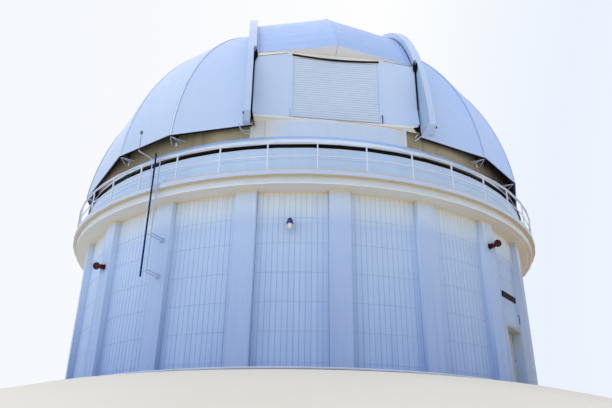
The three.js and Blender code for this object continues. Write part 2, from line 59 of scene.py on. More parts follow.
# Sizes of the model that the added pieces sit on: azimuths of its parts, radii and heights
BAY = 18
FACET = 6
SEGMENT = 36
PILASTER_HALF = 2.04
R_PANEL = 14.15
R_PILASTER = 14.5
R_CORNICE = 15.18
R_DECK = 15.4
R_UPPER = 14.75
R_DRUM = 14.45
R_RAIL = 15.3
Z_PANEL = (0.2403, 8.58)
Z_CORNICE = 8.95
Z_DECK = 9.23
ENTRY_AZ = 47.05
ENTRY_HALF = 1.19
ENTRY_CLEAR = 1.1297
Z_ENTRY = 3.4
LEAF_OUT = 13.62
BOARD_AZ = 45.4
BOARD_FACE = 14.2
FITTING_AZ = 51
LAMP_AZ = -9.4
LAMP_R = 14.48
MAST_AZ = -36
MAST = (-9.1459, -12.5883)

# The shell: a ball of gores, flat across and cut open at the front; GORES has the lines between
SHELL_R = 15.14
SHELL_Z = 10.95
SHELL_TOP = 83
Z_SHELL_EDGE = 12.2
LOWEST = degrees(asin((Z_SHELL_EDGE - SHELL_Z) / SHELL_R))
GORES = [8, 35, 50.5, 77, 101, 126, 148, 170]
GORES += [360 - a for a in reversed(GORES)]
SHELL_STEPS = 48
CUT_X = 4.5
FRONT_BOX = ((-CUT_X, -20, 11), (CUT_X, -13.649, 17.2))
SLIT_CUT = 2.3853
SLIT_BOX = ((-SLIT_CUT, -20, 16), (SLIT_CUT, 2.6003, 27))

# The shutters and fins: arches round the X axis at height ARCH_Z, angles from the front upwards
SHUTTERS = ((-1, "left_shutter"), (1, "right_shutter"))
ARCH_Z = 10.85
RIDGE_R = 15.78
GUTTER_R = 14.985
SHUTTER_FROM = 24.55
SHUTTER_TO = 101
FIN_ROOT_X = 4.37
FIN_X = (4.52, 4.83)
FIN_R = (14.75, 15.33)
WEB_X = (4.511, 4.519)
WEB_GAP = 0.016

# The front wall between the fins, with its roll-up door
WALL_Y = -13.8
WALL_HALF = 4.41
SLIT_HALF = 2.385
Z_WALL = 12.97
Z_WALL_TOP = 16.85
APRON_HALF = 4.405

# Sheets of the siding: how far they stand out, ribs, and the heights where a course laps over the next
SHEET_OUT = 0.024
GROOVE_OUT = 0.016
RIB_STEP = 0.27
RIB_GROOVE = 0.016
RIB_SLOPE = 0.006
LAP = 0.01
LAPS = [0.5, 1.84, 3.17, 4.54, 5.96, 7.23]

# The photo's width and the focal length, in pixels
PHOTO_WIDTH = 612
FOCAL_PIXELS = 589.17


# ---- places
def polar(radius, az, z):
    """A point at an azimuth."""
    a = radians(az)
    return Vector((radius * sin(a), -radius * cos(a), z))


def at(az, along, out, z):
    """A point in the upright frame of an azimuth: along is tangential, out is radial."""
    a = radians(az)
    return polar(out, az, z) + Vector((cos(a), sin(a), 0)) * along


def around_x(x, radius, angle):
    """A point on the shutters' arch."""
    a = radians(angle)
    return Vector((x, -radius * cos(a), ARCH_Z + radius * sin(a)))


def facet_radius(az, radius):
    """Radius of the model's faceted wall at an azimuth; each segment's last facet is narrower."""
    local = az % SEGMENT
    low, high = FACET * floor(local / FACET), FACET * floor(local / FACET) + FACET
    split = SEGMENT - PILASTER_HALF
    if low < split < high:
        low, high = (low, split) if local <= split else (split, high)
    half, off = (high - low) / 2, local - (high + low) / 2
    return radius * cos(radians(half)) / cos(radians(off))


def on_drum(radius, az, z):
    """A point that follows the facets of the model's drum."""
    off = az % FACET - FACET / 2
    return polar(radius * cos(radians(FACET / 2)) / cos(radians(off)), az, z)


def section(u0, v0, u1, v1):
    return [(u0, v0), (u1, v0), (u1, v1), (u0, v1)]


def arch(outline, angle, side=1):
    """A row of points: the outline, in x and radius, at an angle of the shutters' arch."""
    return [around_x(side * x, r, angle) for x, r in outline]


def spread(first, last, steps):
    return [first + (last - first) * i / steps for i in range(steps + 1)]


def linear(rgb):
    """Display colour in 0..255 to scene-linear."""
    shares = [c / 255 for c in rgb]
    return (*(c / 12.92 if c <= 0.04045 else ((c + 0.055) / 1.055) ** 2.4 for c in shares), 1)


# ---- mesh builder
def add_object(name, data):
    thing = bpy.data.objects.new(name, data)
    bpy.context.scene.collection.objects.link(thing)
    return thing


class Shape:
    """Collects faces with a material number each, and makes one object of them."""

    def __init__(self):
        self.points, self.faces, self.numbers = [], [], []

    def point(self, p):
        self.points.append(tuple(p))
        return len(self.points) - 1

    def face(self, indices, number=0):
        self.faces.append(tuple(indices))
        self.numbers.append(number)

    def quad(self, a, b, c, d, number=0):
        self.face([self.point(p) for p in (a, b, c, d)], number)

    def grid(self, rows, number=0, closed=False):
        """Rows of points, joined by faces; closed joins the last point of a row to its first."""
        index = [[self.point(p) for p in row] for row in rows]
        for low, high in zip(index, index[1:]):
            count = len(low)
            for i in range(count if closed else count - 1):
                j = (i + 1) % count
                self.face((low[i], low[j], high[j], high[i]), number)
        return index

    def sweep(self, rows, number=0, caps=True):
        """A closed section carried through stations, with its ends closed."""
        index = self.grid(rows, number, closed=True)
        if caps:
            self.face(reversed(index[0]), number)
            self.face(index[-1], number)

    def box(self, az, along, out, z, number=0):
        """A box in the upright frame of an azimuth, each of its sides given as (from, to)."""
        outline = section(min(along), out[1], max(along), out[0])
        self.sweep([[at(az, u, r, height) for u, r in outline] for height in z], number)

    def block(self, lo, hi, number=0):
        """A box along the axes; its x values come in any order."""
        outline = section(min(lo[0], hi[0]), lo[1], max(lo[0], hi[0]), hi[1])
        self.sweep([[(x, y, z) for x, y in outline] for z in (lo[2], hi[2])], number)

    def prism(self, outline, y, number=0):
        """An upright plate parallel to the front: its outline in x and z, between two values of y."""
        self.sweep([[(x, depth, z) for x, z in outline] for depth in y], number)

    def tube(self, path, radius, sides, number=0):
        """A round tube along a path; radius may be a list with one value a point."""
        path = [Vector(p) for p in path]
        radii = radius if isinstance(radius, (list, tuple)) else [radius] * len(path)
        turns = [2 * pi * k / sides for k in range(sides)]
        rows, normal = [], None
        for i, p in enumerate(path):
            ahead = (path[min(i + 1, len(path) - 1)] - path[max(i - 1, 0)]).normalized()
            if normal is None:
                normal = ahead.orthogonal().normalized()
            normal = (normal - ahead * normal.dot(ahead)).normalized()
            side = ahead.cross(normal)
            rows.append([p + (normal * cos(t) + side * sin(t)) * radii[i] for t in turns])
        self.sweep(rows, number)

    def mesh(self, name, paints):
        """The mesh alone; paints are keys of M, in the order of the faces' numbers."""
        mesh = bpy.data.meshes.new(name)
        mesh.from_pydata(self.points, [], self.faces)
        for key in paints.split():
            mesh.materials.append(M[key])
        mesh.polygons.foreach_set("material_index", self.numbers)
        return mesh

    def make(self, name, body, slot, paints, smooth=None, bevel=0):
        """The piece, welded, on its body; slot is not used."""
        mesh = self.mesh(name, paints)
        bm = bmesh.new()
        bm.from_mesh(mesh)
        bmesh.ops.remove_doubles(bm, verts=bm.verts, dist=1e-5)
        bmesh.ops.recalc_face_normals(bm, faces=bm.faces)
        bm.to_mesh(mesh)
        bm.free()
        piece = add_object(name, mesh)
        if bevel:
            modifier = piece.modifiers.new("edges", "BEVEL")
            modifier.width = bevel
            modifier.segments = 2
            modifier.limit_method = "ANGLE"
        if smooth is not None:
            mesh.shade_smooth()
            mesh.set_sharp_from_angle(angle=radians(smooth))
        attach(piece, body)
        return piece


# ---- materials
class Nodes:
    """The node tree of a material or world, with short calls for the nodes that are used most."""

    def __init__(self, owner, shader, place):
        owner.use_nodes = True
        self.owner = owner
        self.tree = owner.node_tree
        self.shader = self.tree.nodes[shader]
        self.place = self.add("TexCoord", {}).outputs[place]

    def add(self, kind, sockets, **settings):
        """A new node; sockets gives a value, or another node's socket, for each of its inputs."""
        node = self.tree.nodes.new("ShaderNode" + kind)
        for key, value in settings.items():
            setattr(node, key, value)
        for key, value in sockets.items():
            self.put(value, node.inputs[key])
        return node

    def put(self, value, socket):
        if isinstance(value, bpy.types.NodeSocket):
            self.tree.links.new(value, socket)
        else:
            socket.default_value = value

    def math(self, operation, a, b=0.0, clamp=False):
        return self.add("Math", {0: a, 1: b}, operation=operation, use_clamp=clamp).outputs[0]

    def vector(self, operation, a, b=(0, 0, 0)):
        node = self.add("VectorMath", {0: a, 1: b}, operation=operation)
        return node.outputs["Value" if operation == "DOT_PRODUCT" else "Vector"]

    def noise(self, scale, detail, stretch=(1, 1, 1), rough=0.55):
        place = self.add("Mapping", {"Vector": self.place, "Scale": stretch}).outputs[0]
        sockets = {"Vector": place, "Scale": scale, "Detail": detail, "Roughness": rough}
        return self.add("TexNoise", sockets).outputs["Fac"]

    def step(self, value, low, high, to_low=0.0, to_high=1.0):
        sockets = {"Value": value, "From Min": low, "From Max": high, "To Min": to_low, "To Max": to_high}
        return self.add("MapRange", sockets).outputs["Result"]

    def axis(self, name, vector=None):
        return self.add("SeparateXYZ", {0: vector or self.place}).outputs[name]

    def normal(self):
        return self.add("NewGeometry", {}).outputs["True Normal"]

    def mix(self, share, a, b):
        return self.add("Mix", {"Factor": share, "A": a, "B": b}, data_type="RGBA").outputs["Result"]

    def bump(self, height, distance, strength=1.0):
        node = self.add("Bump", {"Height": height, "Distance": distance, "Strength": strength})
        self.put(node.outputs[0], self.shader.inputs["Normal"])

    def finish(self, color, rough, metal=0.0):
        self.put(color, self.shader.inputs["Base Color"])
        self.put(rough, self.shader.inputs["Roughness"])
        self.shader.inputs["Metallic"].default_value = metal
        return self.owner


def surface(name):
    return Nodes(bpy.data.materials.new(name), "Principled BSDF", "Object")


# Noises of the paint: scale and detail, and for the runs the upright stretch and the roughness
CLOUDS = (0.45, 5)
RUNS = (1.0, 6, (3.2, 3.2, 0.12), 0.6)
SPECKS = (34, 3)
PEEL = (60, 2)
SHEEN = (3.0, 4)
# Where a tint is blended in: towards the front; at the wall's foot, darker as painted shade; at its head,
# lighter as painted light; on undersides, painted light and shade from below
FRONT = ("Y", -3.0, -8.0)
FOOT = ("Z", 6.3, 0.1)
HEAD = ("Z", 6.9, 8.35)
LOOKS_DOWN = (-0.3, -0.6)
DULL = 0.12  # specular level of the dark paints


def paint(name, color, stain, rough, blotch, streak, layers=(), under=None, spot=None, metal=0.0, flank=None):
    """Painted steel: cloudy variation, runs down the face, specks and orange-peel bump.

    Each layer is (axis, from, to, colour), blended in along that axis and broken up by the runs.
    A second axis, from and to may follow, which limit it.
    under is (colour, from, to) by how far a face looks down, and the colour at the right where it differs:
    painted light and shade on undersides.
    spot is (x, y, radius, colour) for what stands within a radius of an upright line.
    flank is (colour, colour at the right) of faces that look sideways along the building's round: painted
    light on the pilasters' shaded sides.
    """
    n = surface(name)
    cloud = n.noise(*CLOUDS)
    color = n.mix(n.step(cloud, 0.35, 0.7, 0, blotch), linear(color), linear(stain))
    runs = n.noise(*RUNS)
    color = n.mix(n.step(runs, 0.52, 0.85, 0, streak), color, linear(stain))
    if flank:
        outward = n.vector("NORMALIZE", n.vector("MULTIPLY", n.place, (1, 1, 0)))
        sideways = n.step(n.vector("DOT_PRODUCT", outward, n.normal()), 0.7, 0.4)
        color = n.mix(sideways, color, linear(flank[0]))
    broken = n.step(runs, 0.25, 0.65, 0.65, 1.1) if layers else None
    for axis, low, high, tint, *limit in layers:
        amount = n.math("MULTIPLY", n.step(n.axis(axis), low, high), broken, True)
        if limit:
            amount = n.math("MULTIPLY", amount, n.step(n.axis(limit[0]), *limit[1:]))
        color = n.mix(amount, color, linear(tint))
    if flank:
        right, front = n.step(n.axis("X"), 9.5, 11.0, 0.0, 0.85), n.step(n.axis(FRONT[0]), *FRONT[1:])
        right = n.math("MULTIPLY", right, front)
        color = n.mix(n.math("MULTIPLY", sideways, right), color, linear(flank[1]))
    if under:
        below, low, high, *right = under
        below = linear(below)
        if right:
            below = n.mix(n.step(n.axis("X"), 5.0, 14.0), below, linear(right[0]))
        color = n.mix(n.step(n.axis("Z", n.normal()), low, high), color, below)
    if spot:
        x, y, radius, tint = spot
        dx, dy = n.math("SUBTRACT", n.axis("X"), x), n.math("SUBTRACT", n.axis("Y"), y)
        far = n.math("SQRT", n.math("ADD", n.math("MULTIPLY", dx, dx), n.math("MULTIPLY", dy, dy)))
        color = n.mix(n.math("LESS_THAN", far, radius), color, linear(tint))
    color = n.mix(n.step(n.noise(*SPECKS), 0.66, 0.8, 0, 0.12), color, linear(stain))
    n.bump(n.math("ADD", n.noise(*PEEL), n.math("MULTIPLY", cloud, 3.0)), 0.0022, 0.5)
    return n.finish(color, n.step(n.noise(*SHEEN), 0.3, 0.75, rough - 0.08, rough + 0.12), metal)


M = {
    # Lighter at the left front, greyer and darker at the right front and at the foot, lighter at the head and
    # cream under the soffit: painted light and shade
    "siding": paint("siding paint", (170, 194, 231), (158, 178, 212), 0.5, 0.18, 0.22,
        [("X", -8, -14, (184, 206, 240), *FRONT), (*FOOT, (132, 158, 206)),
         ("X", 6, 16, (132, 148, 176), *FRONT), (*HEAD, (220, 232, 242)),
         ("Z", 8.33, 8.56, (238, 226, 196))]),
    # The grooves and the strip under each lap, darker than the sheets as painted shade; their tints up the
    # wall are painted light and shade as on the siding
    "groove": paint("siding groove painted shade", (152, 175, 213), (140, 160, 194), 0.7, 0.3, 0.35,
        [(*FOOT, (116, 141, 188)), (*HEAD, (198, 210, 222)), ("Z", 8.28, 8.52, (214, 200, 166))]),
    # Darker at the foot and the right front, lighter at the head and cream under the soffit; sides along the
    # round lighter, greyer at the right: painted light and shade
    "pilaster": paint("pilaster paint", (163, 186, 226), (152, 172, 206), 0.48, 0.18, 0.22,
        [(*FOOT, (129, 153, 202)), ("X", 8, 13.5, (128, 144, 178), *FRONT), (*HEAD, (202, 218, 240)),
         ("Z", 8.36, 8.56, (232, 218, 186))], flank=((190, 213, 241), (184, 198, 223))),
    # Lighter than the siding: painted light against the shade in the corners beside the pilasters, also on
    # the lamp's back plate; foot, head and top tinted as painted light and shade
    "corner": paint("folded corner strip paint", (184, 204, 236), (164, 182, 212), 0.48, 0.18, 0.22,
        [(*FOOT, (150, 174, 218)), (*HEAD, (212, 225, 242)), ("Z", 8.36, 8.6, (220, 206, 174))]),
    # Faces that look down are warm cream, tan at the right: painted light and shade from below
    "deck": paint("deck edge paint", (178, 198, 230), (160, 168, 184), 0.45, 0.22, 0.3,
        [("Z", 9.186, 9.192, (188, 172, 136)), ("Z", 8.972, 8.966, (176, 158, 120))],
        ((204, 196, 180), *LOOKS_DOWN, (190, 168, 136))),
    # Faces that look down are pale cream, tan at the right: painted light from below
    "cornice": paint("cornice paint", (200, 213, 231), (180, 184, 184), 0.5, 0.22, 0.22,
        [("Z", 8.78, 8.93, (222, 212, 182))], ((226, 220, 210), *LOOKS_DOWN, (208, 186, 152))),
    "lip": paint("cornice lip paint", (222, 224, 226), (196, 190, 172), 0.45, 0.2, 0.25),
    "upper": paint("upper wall paint", (182, 207, 241), (158, 180, 212), 0.45, 0.22, 0.3,
        [("Z", 9.62, 9.25, (172, 190, 220))]),
    # Deeper blue high up and towards the right, a little greyer at the left: painted light and shade of the
    # sky
    "shell": paint("shell paint", (178, 199, 233), (164, 184, 218), 0.42, 0.22, 0.16,
        [("Z", 14.5, 23, (141, 173, 228)), ("X", 3, 14, (154, 188, 255)),
         ("X", -2, -12, (171, 192, 226))]),
    # A lighter copy of the shell paint: painted highlight on the left seams' straps and the shell's rim
    "strap": paint("shell seam strap", (190, 208, 240), (160, 176, 206), 0.42, 0.2, 0.2),
    # Dark blue-grey painted shadow beside the left seams and on the left shutter's eave strip; the door's
    # bottom bar is painted with it too
    "lap": paint("shell seam shadow", (134, 152, 190), (112, 126, 156), 0.6, 0.3, 0.3),
    # Faces that look down are near white: painted light from below
    "shutter": paint("shutter paint", (147, 177, 229), (138, 164, 212), 0.42, 0.18, 0.14,
        under=((238, 240, 242), -0.18, -0.34)),
    "fin": paint("fin paint", (178, 198, 232), (160, 180, 212), 0.42, 0.2, 0.2),
    "front": paint("front wall paint", (187, 207, 240), (166, 184, 212), 0.45, 0.22, 0.3),
    "weathered": paint("weathered pale paint", (196, 203, 208), (196, 176, 140), 0.6, 0.35, 0.35,
        [("Z", 12.3, 12.62, (214, 203, 178)), ("Z", 12.66, 12.86, (190, 198, 208))]),
    # Pale blue-grey: painted shade of the fins' inner sides and the jambs; the rods at the left fin's foot
    # use it too
    "web": paint("fin side paint", (164, 190, 220), (138, 164, 190), 0.5, 0.3, 0.35),
    # Faces that look down are lighter: painted light from below
    "cream": paint("cream paint", (226, 227, 225), (198, 184, 152), 0.55, 0.25, 0.25,
        under=((240, 234, 218), *LOOKS_DOWN)),
    # The drum under the shell: tan, darker up under the shell's edge and towards the sides: painted shade
    "tan_left": paint("drum in dust and stain", (156, 148, 122), (96, 84, 62), 0.75, 0.5, 0.7,
        [("Z", 12.15, 12.55, (70, 58, 42)), ("Y", -12.4, -9.6, (120, 108, 88)),
         ("Y", -4, 4, (128, 118, 98))]),
    # Darker round the right side, to near black: painted shade
    "tan_right": paint("drum in dust and shade", (158, 148, 128), (88, 76, 58), 0.75, 0.5, 0.7,
        [("Z", 12.05, 12.5, (60, 50, 38)), ("Y", -12.4, -10.4, (44, 37, 30)), ("Y", -4, 4, (118, 108, 88))]),
    # Dark brown: painted shade under the shell's edge
    "carrier": paint("carrier under the shell", (66, 57, 46), (40, 34, 28), 0.8, 0.5, 0.5),
    "parapet": paint("parapet paint", (182, 203, 237), (180, 180, 172), 0.5, 0.25, 0.3,
        [("X", -2.5, -3.8, (202, 204, 204)), ("X", 2.8, 3.9, (206, 208, 206)),
         ("Z", 12.34, 12.6, (208, 208, 202))]),
    "skirt": paint("drip skirt paint", (142, 178, 235), (122, 152, 204), 0.42, 0.25, 0.3,
        [("Z", 11.345, 11.315, (204, 202, 176)), ("Z", 11.275, 11.245, (196, 214, 242))]),
    "rail": paint("railing paint", (206, 218, 238), (168, 162, 152), 0.4, 0.2, 0.2),
    "plinth": paint("foundation in rust-brown earth stain", (104, 84, 66), (66, 50, 40), 0.9, 0.7, 0.5),
    "flash": paint("base flashing paint", (176, 194, 226), (140, 140, 144), 0.5, 0.3, 0.4),
    # The ring girder: brown, darkened as painted shade of the gap under the dome
    "ring": paint("ring girder, brown, in painted shade", (58, 47, 39), (34, 28, 23), 0.75, 0.5, 0.5),
    "stain": paint("rust stain", (208, 186, 156), (176, 140, 104), 0.7, 0.5, 0.5),
    "rust": paint("rusted bracket", (150, 104, 72), (92, 60, 42), 0.8, 0.6, 0.5),
    # Dark steel of the track, darkened further as painted shade of the gap under the dome; the door leaves'
    # fittings use it too
    "steel": paint("dark running steel and painted shade", (27, 23, 21), (15, 13, 12), 0.7, 0.5, 0.5, metal=0.3),
    # Black: the handles, head flap and rollers as they are; painted shade where it fills the gap over the
    # front wall, hangs under the shell's edge, lines the front wall's edges and fills the horn's mouth
    "dark": paint("black seal and painted shade", (16, 16, 20), (9, 9, 12), 0.85, 0.3, 0.3),
    "slat": paint("roll-up slat paint", (192, 209, 234), (172, 188, 212), 0.4, 0.25, 0.25),
    "slatgap": paint("roll-up slat joint", (162, 180, 208), (144, 160, 186), 0.6, 0.3, 0.3),
    "mast": paint("mast paint and galvanised pipe", (166, 182, 212), (134, 148, 174), 0.45, 0.4, 0.3,
        spot=(*MAST, 0.056, (0, 38, 104))),
    "arm": paint("sensor arm paint", (202, 210, 224), (160, 160, 160), 0.45, 0.3, 0.3,
        [("Z", 10.965, 10.972, (38, 52, 84))]),
    "red": paint("horn paint", (68, 0, 10), (34, 1, 6), 0.5, 0.5, 0.4),
    "blue": paint("lamp cap enamel", (8, 26, 140), (6, 14, 70), 0.25, 0.3, 0.2),
    "board": paint("board wood", (26, 17, 13), (15, 10, 8), 0.7, 0.5, 0.6),
    "border": paint("board border", (52, 37, 29), (34, 25, 20), 0.7, 0.4, 0.4),
    # Faces that look down are warm grey-cream: painted light from below
    "reveal": paint("entrance reveal paint", (160, 184, 220), (150, 160, 174), 0.55, 0.3, 0.3,
        [("Z", 1.8, 3.3, (178, 190, 202))], ((190, 184, 162), *LOOKS_DOWN)),
    # Cream towards the top: painted warm light in the recess
    "leaf": paint("door leaf paint", (162, 174, 190), (144, 148, 152), 0.45, 0.3, 0.3,
        [("Z", 2.2, 3.1, (176, 167, 148))]),
    # Dark housing; also the right shutter's eave strip, as painted shade
    "lamp": paint("dark lamp housing and painted shade", (22, 34, 56), (12, 16, 26), 0.4, 0.3, 0.2),
    "inside": paint("inside wall lining", (150, 142, 126), (104, 96, 82), 0.8, 0.4, 0.4),
}

for key in ("dark", "steel", "carrier", "ring", "red", "board", "border", "lamp", "mast"):
    M[key].node_tree.nodes["Principled BSDF"].inputs["Specular IOR Level"].default_value = DULL


def globe_material():
    n = surface("lamp globe glass")
    n.shader.inputs["Coat Weight"].default_value = 0.4
    cloud = n.noise(9, 3)
    color = n.mix(n.step(cloud, 0.3, 0.7, 0, 0.5), linear((222, 216, 196)), linear((190, 182, 158)))
    n.bump(n.noise(40, 2), 0.001, 0.4)
    return n.finish(color, n.step(cloud, 0.3, 0.7, 0.16, 0.3))


def floor_material():
    n = surface("plain pale floor")
    cloud = n.noise(0.05, 3)
    color = n.mix(n.step(cloud, 0.3, 0.7), linear((212, 206, 196)), linear((220, 215, 206)))
    n.bump(n.noise(2.0, 3), 0.004, 0.2)
    return n.finish(color, 0.9)


M["globe"] = globe_material()
M["floor"] = floor_material()

# The paint of each node of the model, by its name or its name's first word; the others have "front"
NODE_PAINTS = dict(
    wall="pilaster", railing="rail", shell="shell",
    foundation_plinth="plinth", ground_floor="inside", base_flashing="flash", entrance_frame="reveal",
    left_door_leaf="leaf", right_door_leaf="leaf", cornice="cornice", balcony_deck="deck", upper_wall="upper",
    # The track and the ring girder are dark as painted shade of the gap under the dome
    dome_track="steel", dome_ring="ring", wall_lamp="blue", lamp_globe="globe", right_horn="red",
    left_horn="red", name_board="board", entrance_lamp="lamp", mast="mast", sensor_arm="arm",
    drip_skirt="skirt", front_parapet="parapet", drum_left="tan_left", drum_right="tan_right",
    # The carrier is dark as painted shade under the shell, the front rail black as painted shade of the gap
    # over the front wall
    shell_carrier="carrier", front_sill="cream", front_rail="dark", roll_up_door="slatgap",
    left_shutter="shutter", right_shutter="shutter", left_fin="fin", right_fin="fin",
)


def paint_nodes():
    for name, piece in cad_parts.items():
        key = NODE_PAINTS.get(name) or NODE_PAINTS.get(name.split("_")[0], "front")
        piece.data.materials.clear()
        piece.data.materials.append(M[key])


# ---- siding
def siding(bay):
    """Sheets of one bay with narrow grooves, in courses that lap down over each other; the grooves and the
    strip under each lap are in painted shade.
    """
    first = BAY * bay + PILASTER_HALF + 0.03
    last = BAY * (bay + 1) - PILASTER_HALF - 0.03
    count = round(radians(last - first) * R_PANEL / RIB_STEP)
    pitch = (last - first) / count
    half = degrees(RIB_GROOVE / 2 / R_PANEL)
    slope = degrees(RIB_SLOPE / R_PANEL)
    breaks = sorted({*range(0, 361, FACET), *(c - PILASTER_HALF for c in range(SEGMENT, 361, SEGMENT))})
    door = degrees(asin((ENTRY_HALF + 0.004) / R_PANEL))
    door_edge = ENTRY_AZ - door if first < ENTRY_AZ < last else None
    heads = [Z_ENTRY + 0.004] if door_edge else []
    edges = sorted([Z_PANEL[0] + 0.002, Z_PANEL[1] - 0.002] + LAPS + [z - LAP for z in LAPS] + heads)
    shape = Shape()
    for low, high in zip(edges, edges[1:]):
        foot = LAP if low in LAPS else 0.0
        line = []
        for i in range(count):
            a, b = first + i * pitch, first + (i + 1) * pitch
            rise, fall = a + half + slope, b - half - slope
            line += [(a, GROOVE_OUT), (a + half, GROOVE_OUT), (rise, SHEET_OUT)]
            line += [(c, SHEET_OUT) for c in breaks if rise < c < fall]
            line += [(fall, SHEET_OUT), (b - half, GROOVE_OUT)]
        line.append((last, GROOVE_OUT))
        if door_edge and low < Z_ENTRY:
            line = [(p, out) for p, out in line if p < door_edge] + [(door_edge, SHEET_OUT)]
        for (p, op), (q, oq) in zip(line, line[1:]):
            rp, rq = facet_radius(p + 1e-6, R_PANEL) + op, facet_radius(q - 1e-6, R_PANEL) + oq
            # Faces in the grooves, the strip under each lap and the lap's underside take the groove paint:
            # painted shade
            number = 0 if min(op, oq) == SHEET_OUT and high not in LAPS else 1
            low_p, low_q = polar(rp + foot, p, low), polar(rq + foot, q, low)
            shape.quad(low_p, low_q, polar(rq, q, high), polar(rp, p, high), number)
            if foot:
                shape.quad(polar(rp - 0.002, p, low), polar(rq - 0.002, q, low), low_q, low_p, 1)
    shape.make(f"siding_{bay + 1:02d}", "building", "wall_panel", "siding groove")


def all_siding():
    for bay in range(20):
        siding(bay)


# ---- pilasters, fascia, railing
def pilaster_trim():
    """Folded strips on the corners of the pilasters, and beside them on the wall in a lighter paint that is
    painted light in the corners.
    """
    half = R_PILASTER * sin(radians(PILASTER_HALF))
    face = R_PILASTER * cos(radians(PILASTER_HALF))
    z = Z_PANEL[0] + 0.004, Z_PANEL[1] - 0.004
    for i in range(20):
        shape = Shape()
        for side in (-1, 1):
            strip = side * (half - 0.02), side * (half + 0.004)
            foot = side * (half + 0.004), side * (half + 0.05)
            shape.box(BAY * i, strip, (face - 0.03, face + 0.006), z)
            shape.box(BAY * i, foot, (R_PANEL - 0.02, R_PANEL + 0.032), z, 1)
        shape.make(f"pilaster_edges_{i + 1:02d}", "building", "wall_panel", "pilaster corner")


def ring_piece(name, body, slot, paint_key, profile, span=None):
    """A closed section carried round on the facets of the model's rings, or over a span of the drum."""
    azimuths, place = range(0, 361, FACET), polar
    if span:
        azimuths = [span[0], *(a for a in azimuths if span[0] < a < span[1]), span[1]]
        place = on_drum
    shape = Shape()
    shape.sweep([[place(r, a, z) for r, z in profile] for a in azimuths], caps=bool(span))
    shape.make(name, body, slot, paint_key)


def rings():
    """Lips, beads, caps and straps that go all round."""
    for name, slot, key, r0, z0, r1, z1 in (
        ("cornice_lower_lip", "cornice", "lip", R_CORNICE - 0.045, 8.566, R_CORNICE + 0.012, 8.612),
        ("cornice_inner_bead", "cornice", "lip", 14.885, 8.572, 14.915, 8.5805),
        ("upper_wall_strap", "upper_wall", "upper", R_UPPER - 0.01, 10.105, R_UPPER + 0.012, 10.15),
        ("upper_wall_cap", "upper_wall", "rail", R_UPPER - 0.06, 10.672, R_UPPER + 0.014, 10.704),
        ("foot_strip", "flashing", "lip", 14.4, 0.2405, 14.545, 0.262),
    ):
        ring_piece(name, "building", slot, key, section(r0, z0, r1, z1))


def joint_straps(name, body, slot, paint_key, radius, z, azimuths, width=0.05, out=0.006):
    """Narrow cover straps over upright sheet joints."""
    shape = Shape()
    for az in azimuths:
        r = facet_radius(az, radius)
        shape.box(az, (-width / 2, width / 2), (r - 0.004, r + out), z)
    shape.make(name, body, slot, paint_key)


def wall_straps():
    """The joints of the upper wall and of the deck's edge."""
    z_upper, z_deck = (Z_DECK + 0.01, 10.66), (Z_CORNICE + 0.004, Z_DECK - 0.004)
    joint_straps("upper_wall_joints", "building", "upper_wall", "upper", R_UPPER, z_upper, range(0, 360, 9))
    joint_straps("deck_edge_joints", "building", "deck", "deck", R_DECK - 0.007, z_deck, range(9, 360, BAY),
                 0.03, 0.004)


def drum_straps():
    for side, azimuths in (("right", range(27, 180, 9)), ("left", range(189, 340, 9))):
        joint_straps(f"drum_joints_{side}", "dome", "drum", f"tan_{side}", R_DRUM, (11.6, 12.6), azimuths,
                     0.06, 0.008)


def railing():
    """The cap, and a foot plate with four bolts under each post."""
    profile = section(R_RAIL - 0.04, 10.6802, R_RAIL + 0.04, 10.722)
    ring_piece("railing_cap", "building", "railing", "rail", profile)
    top, out = Z_DECK + 0.013, (R_RAIL - 0.085, R_RAIL + 0.085)
    shape = Shape()
    for i in range(40):
        az = 9 * i + 4.5
        shape.box(az, (-0.085, 0.085), out, (Z_DECK + 0.0003, top))
        for u in (-0.062, 0.062):
            for v in (-0.062, 0.062):
                p = at(az, u, R_RAIL + v, top)
                shape.tube([p, p + Vector((0, 0, 0.012))], 0.011, 6)
    shape.make("railing_foot_plates", "building", "railing", "rail")


# ---- entrance and fittings
def entrance():
    """Trim round the doorway, and the panels, pull bars and hinges of its two leaves."""
    trim = Shape()
    top, out, clear = Z_ENTRY - 0.0005, (14.081, 14.112), ENTRY_CLEAR + 0.002
    for side in (-1, 1):
        trim.box(ENTRY_AZ, (side * clear, side * (ENTRY_HALF - 0.001)), out, (0.262, top))
    trim.box(ENTRY_AZ, (-clear, clear), out, (Z_ENTRY - 0.058, top))
    trim.make("entrance_trim", "building", "door_frame", "reveal", bevel=0.003)
    face, fitting = LEAF_OUT + 0.008, LEAF_OUT + 0.012
    for side, body in ((-1, "left_leaf"), (1, "right_leaf")):
        leaf = Shape()

        def plate(u0, u1, z0, z1, out=(LEAF_OUT, face), number=0):
            leaf.box(ENTRY_AZ, (side * u0, side * u1), out, (z0, z1), number)

        for u0, u1 in ((0.008, 0.11), (1.02, 1.12)):
            plate(u0, u1, 0.15, 3.325)
        for z0, z1 in ((0.15, 0.3), (1.06, 1.18), (2.18, 2.3), (3.215, 3.325)):
            plate(0.11, 1.02, z0, z1)
        plate(0.03, 0.08, 1.02, 1.32, (face, LEAF_OUT + 0.014), 1)
        for z in (0.7, 1.85, 3.0):
            plate(1.06, 1.118, z - 0.06, z + 0.06, (face, fitting), 1)
        grip = LEAF_OUT + 0.055
        bar = ((fitting, 1.1), (grip, 1.1), (grip, 1.24), (fitting, 1.24))
        leaf.tube([at(ENTRY_AZ, side * 0.055, r, z) for r, z in bar], 0.011, 8, 1)
        leaf.make(f"{body}_panels", body, "door_leaf", "leaf steel", bevel=0.0015)


